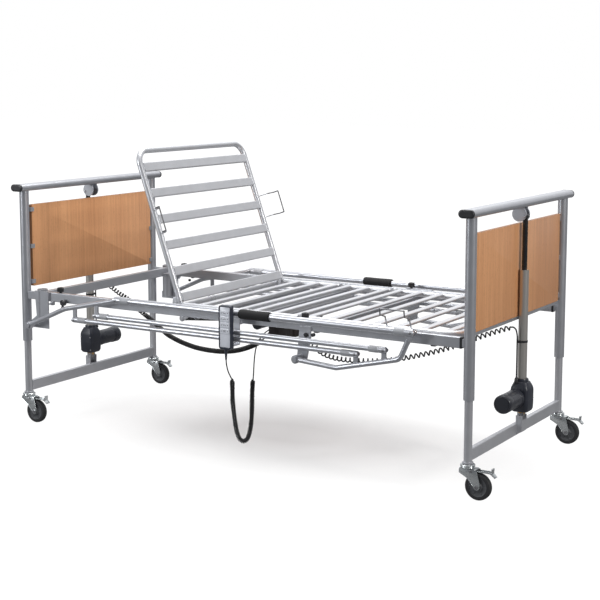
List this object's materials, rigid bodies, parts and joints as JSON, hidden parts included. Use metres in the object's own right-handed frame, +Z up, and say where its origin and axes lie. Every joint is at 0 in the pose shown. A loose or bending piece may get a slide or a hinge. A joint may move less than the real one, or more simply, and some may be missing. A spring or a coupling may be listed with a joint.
{
  "type": "adjustable hospital bed",
  "caption": "Electric profiling bed with slatted backrest and leg sections, lift columns in both end frames, fold-down side guards, braked castors and a corded hand control",
  "frame": {"origin": "on the floor under the middle of the bounding box, cords left out", "axes": "+X from the head end to the foot end, +Y to the far side away from the hand control, +Z up"},
  "size_m": [2.264, 1.0503, 1.2064],
  "materials": {
    "frame_silver": "silver-grey powder coat, satin",
    "slat_silver": "light silver powder coat, satin",
    "zinc_legs": "silver-grey powder coat, satin",
    "column_anodised": "satin anodised, warm grey",
    "motor_plastic": "fine-textured blue-black moulding",
    "black_rod": "black, semi-gloss",
    "beech_laminate": "beech-pattern laminate, satin",
    "black_cap": "black moulded plastic",
    "foam_grip": "closed-cell foam sleeve, matt",
    "castor_zinc": "bright zinc plate",
    "castor_tyre": "grey-black rubber on a grey hub",
    "box_plastic": "dark brown-black moulding",
    "handset_plastic": "blue-black moulding",
    "key_film": "pale grey printed film",
    "cable_black": "black cable sheath"
  },
  "bodies": {
    "head_base": {"head_legs": "zinc_legs", "head_lift_housing": "motor_plastic", "head_lift_column": "column_anodised"},
    "bed_frame": {"near_pole_sleeve": "frame_silver", "far_pole_sleeve": "frame_silver", "head_end_frame": "frame_silver", "head_panel": "beech_laminate", "foot_end_frame": "frame_silver", "foot_panel": "beech_laminate", "rail_end_caps": "black_cap", "head_lift_rod": "black_rod", "foot_lift_rod": "black_rod", "head_platform_frame": "frame_silver", "foot_platform_frame": "frame_silver", "clamp_knobs": "black_cap", "seat_section": "slat_silver", "control_box": "box_plastic", "handset_bracket": "frame_silver", "handset_cord": "cable_black", "head_lift_cable": "cable_black", "foot_lift_cable": "cable_black"},
    "foot_base": {"foot_legs": "zinc_legs", "foot_lift_housing": "motor_plastic", "foot_lift_column": "column_anodised"},
    "backrest": {"backrest_section": "slat_silver"},
    "thigh": {"thigh_section": "slat_silver"},
    "calf": {"calf_section": "slat_silver"},
    "backrest_actuator": {"backrest_actuator": "motor_plastic"},
    "backrest_rod": {"backrest_rod": "black_rod"},
    "leg_actuator": {"leg_actuator": "motor_plastic"},
    "leg_rod": {"leg_rod": "black_rod"},
    "handset": {"handset_case": "handset_plastic"},
    "near_head_arm": {"near_head_arm": "frame_silver"},
    "near_foot_arm": {"near_foot_arm": "frame_silver"},
    "near_top_bar": {"near_top_bar": "frame_silver", "near_grip": "foam_grip"},
    "near_mid_bar": {"near_mid_bar": "frame_silver"},
    "near_low_bar": {"near_low_bar": "frame_silver"},
    "far_head_arm": {"far_head_arm": "frame_silver"},
    "far_foot_arm": {"far_foot_arm": "frame_silver"},
    "far_top_bar": {"far_top_bar": "frame_silver", "far_grip": "foam_grip"},
    "far_mid_bar": {"far_mid_bar": "frame_silver"},
    "far_low_bar": {"far_low_bar": "frame_silver"},
    "head_near_castor": {"head_near_fork": "castor_zinc"},
    "head_near_wheel": {"head_near_wheel": "castor_tyre"},
    "head_near_brake": {"head_near_brake": "castor_zinc"},
    "head_far_castor": {"head_far_fork": "castor_zinc"},
    "head_far_wheel": {"head_far_wheel": "castor_tyre"},
    "head_far_brake": {"head_far_brake": "castor_zinc"},
    "foot_near_castor": {"foot_near_fork": "castor_zinc"},
    "foot_near_wheel": {"foot_near_wheel": "castor_tyre"},
    "foot_near_brake": {"foot_near_brake": "castor_zinc"},
    "foot_far_castor": {"foot_far_fork": "castor_zinc"},
    "foot_far_wheel": {"foot_far_wheel": "castor_tyre"},
    "foot_far_brake": {"foot_far_brake": "castor_zinc"},
    "head_key": {"head_key": "key_film"},
    "back_key": {"back_key": "key_film"},
    "leg_key": {"leg_key": "key_film"},
    "height_key": {"height_key": "key_film"}
  },
  "joints": [
    {"name": "height_lift", "type": "slide", "parent": "head_base", "child": "bed_frame", "axis": [0, 0, 1], "range_m": [-0.17, 0.2]},
    {"name": "foot_lift", "type": "slide", "parent": "bed_frame", "child": "foot_base", "axis": [0, 0, 1], "range_m": [-0.2, 0.17]},
    {"name": "backrest_hinge", "type": "hinge", "parent": "bed_frame", "child": "backrest", "pos_m": [-0.282, 0.016, 0.575], "axis": [0, 1, 0], "range_deg": [-70.4, 0]},
    {"name": "backrest_actuator_pivot", "type": "hinge", "parent": "bed_frame", "child": "backrest_actuator", "pos_m": [0.038, -0.104, 0.505], "axis": [0, 1, 0], "range_deg": [-21.87, 0.1]},
    {"name": "backrest_rod_slide", "type": "slide", "parent": "backrest_actuator", "child": "backrest_rod", "axis": [-0.9968, 0, -0.0797], "range_m": [-0.194, 0.001]},
    {"name": "thigh_hinge", "type": "hinge", "parent": "bed_frame", "child": "thigh", "pos_m": [0.04, 0.016, 0.575], "axis": [0, -1, 0], "range_deg": [0, 35]},
    {"name": "knee_hinge", "type": "hinge", "parent": "thigh", "child": "calf", "pos_m": [0.294, 0.016, 0.575], "axis": [0, -1, 0], "range_deg": [-47.97, 0.1]},
    {"name": "leg_actuator_pivot", "type": "hinge", "parent": "bed_frame", "child": "leg_actuator", "pos_m": [-0.172, 0.136, 0.505], "axis": [0, -1, 0], "range_deg": [-0.1, 7.43]},
    {"name": "leg_rod_slide", "type": "slide", "parent": "leg_actuator", "child": "leg_rod", "axis": [0.9965, 0, -0.083], "range_m": [-0.001, 0.047]},
    {"name": "near_guard", "type": "hinge", "parent": "bed_frame", "child": "near_head_arm", "pos_m": [-1.007, -0.479, 0.44], "axis": [0, -1, 0], "range_deg": [0, 73]},
    {"name": "near_guard_foot", "type": "hinge", "parent": "bed_frame", "child": "near_foot_arm", "pos_m": [0.338, -0.479, 0.44], "axis": [0, -1, 0], "range_deg": [-0.2, 73.2]},
    {"name": "near_top_bar_joint", "type": "hinge", "parent": "near_head_arm", "child": "near_top_bar", "pos_m": [-0.522, -0.479, 0.59], "axis": [0, -1, 0], "range_deg": [-73.2, 0.2]},
    {"name": "near_mid_bar_joint", "type": "hinge", "parent": "near_head_arm", "child": "near_mid_bar", "pos_m": [-0.632, -0.479, 0.515], "axis": [0, -1, 0], "range_deg": [-73.2, 0.2]},
    {"name": "near_low_bar_joint", "type": "hinge", "parent": "near_head_arm", "child": "near_low_bar", "pos_m": [-0.749, -0.479, 0.488], "axis": [0, -1, 0], "range_deg": [-73.2, 0.2]},
    {"name": "far_guard", "type": "hinge", "parent": "bed_frame", "child": "far_head_arm", "pos_m": [-1.007, 0.511, 0.44], "axis": [0, -1, 0], "range_deg": [0, 73]},
    {"name": "far_guard_foot", "type": "hinge", "parent": "bed_frame", "child": "far_foot_arm", "pos_m": [0.338, 0.511, 0.44], "axis": [0, -1, 0], "range_deg": [-0.2, 73.2]},
    {"name": "far_top_bar_joint", "type": "hinge", "parent": "far_head_arm", "child": "far_top_bar", "pos_m": [-0.522, 0.511, 0.59], "axis": [0, -1, 0], "range_deg": [-73.2, 0.2]},
    {"name": "far_mid_bar_joint", "type": "hinge", "parent": "far_head_arm", "child": "far_mid_bar", "pos_m": [-0.632, 0.511, 0.515], "axis": [0, -1, 0], "range_deg": [-73.2, 0.2]},
    {"name": "far_low_bar_joint", "type": "hinge", "parent": "far_head_arm", "child": "far_low_bar", "pos_m": [-0.749, 0.511, 0.488], "axis": [0, -1, 0], "range_deg": [-73.2, 0.2]},
    {"name": "head_near_swivel", "type": "hinge", "parent": "head_base", "child": "head_near_castor", "pos_m": [-1.0695, -0.424, 0.12], "axis": [0, 0, 1], "continuous": true},
    {"name": "head_near_roll", "type": "hinge", "parent": "head_near_castor", "child": "head_near_wheel", "pos_m": [-1.0265, -0.424, 0.05], "axis": [0, 1, 0], "continuous": true},
    {"name": "head_near_brake_pedal", "type": "hinge", "parent": "head_near_castor", "child": "head_near_brake", "pos_m": [-1.0495, -0.424, 0.1055], "axis": [0, 1, 0], "range_deg": [0, 5]},
    {"name": "head_far_swivel", "type": "hinge", "parent": "head_base", "child": "head_far_castor", "pos_m": [-1.0695, 0.456, 0.12], "axis": [0, 0, 1], "continuous": true},
    {"name": "head_far_roll", "type": "hinge", "parent": "head_far_castor", "child": "head_far_wheel", "pos_m": [-1.0265, 0.456, 0.05], "axis": [0, 1, 0], "continuous": true},
    {"name": "head_far_brake_pedal", "type": "hinge", "parent": "head_far_castor", "child": "head_far_brake", "pos_m": [-1.0495, 0.456, 0.1055], "axis": [0, 1, 0], "range_deg": [0, 5]},
    {"name": "foot_near_swivel", "type": "hinge", "parent": "foot_base", "child": "foot_near_castor", "pos_m": [1.0255, -0.424, 0.12], "axis": [0, 0, 1], "continuous": true},
    {"name": "foot_near_roll", "type": "hinge", "parent": "foot_near_castor", "child": "foot_near_wheel", "pos_m": [1.0685, -0.424, 0.05], "axis": [0, 1, 0], "continuous": true},
    {"name": "foot_near_brake_pedal", "type": "hinge", "parent": "foot_near_castor", "child": "foot_near_brake", "pos_m": [1.0455, -0.424, 0.1055], "axis": [0, 1, 0], "range_deg": [0, 5]},
    {"name": "foot_far_swivel", "type": "hinge", "parent": "foot_base", "child": "foot_far_castor", "pos_m": [1.0255, 0.456, 0.12], "axis": [0, 0, 1], "continuous": true},
    {"name": "foot_far_roll", "type": "hinge", "parent": "foot_far_castor", "child": "foot_far_wheel", "pos_m": [1.0685, 0.456, 0.05], "axis": [0, 1, 0], "continuous": true},
    {"name": "foot_far_brake_pedal", "type": "hinge", "parent": "foot_far_castor", "child": "foot_far_brake", "pos_m": [1.0455, 0.456, 0.1055], "axis": [0, 1, 0], "range_deg": [0, 5]},
    {"name": "handset_lift_off", "type": "slide", "parent": "bed_frame", "child": "handset", "axis": [0, 0, 1], "range_m": [0, 0.06]},
    {"name": "head_key_rock", "type": "hinge", "parent": "handset", "child": "head_key", "pos_m": [0.04, -0.5187, 0.595], "axis": [0, 0, 1], "range_deg": [-2.5, 2.5], "stiffness_Nm_per_rad": 0.5},
    {"name": "back_key_rock", "type": "hinge", "parent": "handset", "child": "back_key", "pos_m": [0.04, -0.5187, 0.5715], "axis": [0, 0, 1], "range_deg": [-2.5, 2.5], "stiffness_Nm_per_rad": 0.5},
    {"name": "leg_key_rock", "type": "hinge", "parent": "handset", "child": "leg_key", "pos_m": [0.04, -0.5187, 0.548], "axis": [0, 0, 1], "range_deg": [-2.5, 2.5], "stiffness_Nm_per_rad": 0.5},
    {"name": "height_key_rock", "type": "hinge", "parent": "handset", "child": "height_key", "pos_m": [0.04, -0.5187, 0.5245], "axis": [0, 0, 1], "range_deg": [-2.5, 2.5], "stiffness_Nm_per_rad": 0.5}
  ],
  "couplings": [
    {"joint": "foot_lift", "follows": "height_lift", "ratio": -1},
    {"joint": "backrest_actuator_pivot", "follows": "backrest_hinge", "ratio": 0.30787},
    {"joint": "backrest_rod_slide", "follows": "backrest_hinge", "m_per_rad": 0.1571},
    {"joint": "knee_hinge", "follows": "thigh_hinge", "ratio": -1.3649},
    {"joint": "leg_actuator_pivot", "follows": "thigh_hinge", "ratio": 0.20653},
    {"joint": "leg_rod_slide", "follows": "thigh_hinge", "m_per_rad": 0.075289},
    {"joint": "near_guard_foot", "follows": "near_guard", "ratio": 1},
    {"joint": "near_top_bar_joint", "follows": "near_guard", "ratio": -1},
    {"joint": "near_mid_bar_joint", "follows": "near_guard", "ratio": -1},
    {"joint": "near_low_bar_joint", "follows": "near_guard", "ratio": -1},
    {"joint": "far_guard_foot", "follows": "far_guard", "ratio": 1},
    {"joint": "far_top_bar_joint", "follows": "far_guard", "ratio": -1},
    {"joint": "far_mid_bar_joint", "follows": "far_guard", "ratio": -1},
    {"joint": "far_low_bar_joint", "follows": "far_guard", "ratio": -1}
  ]
}
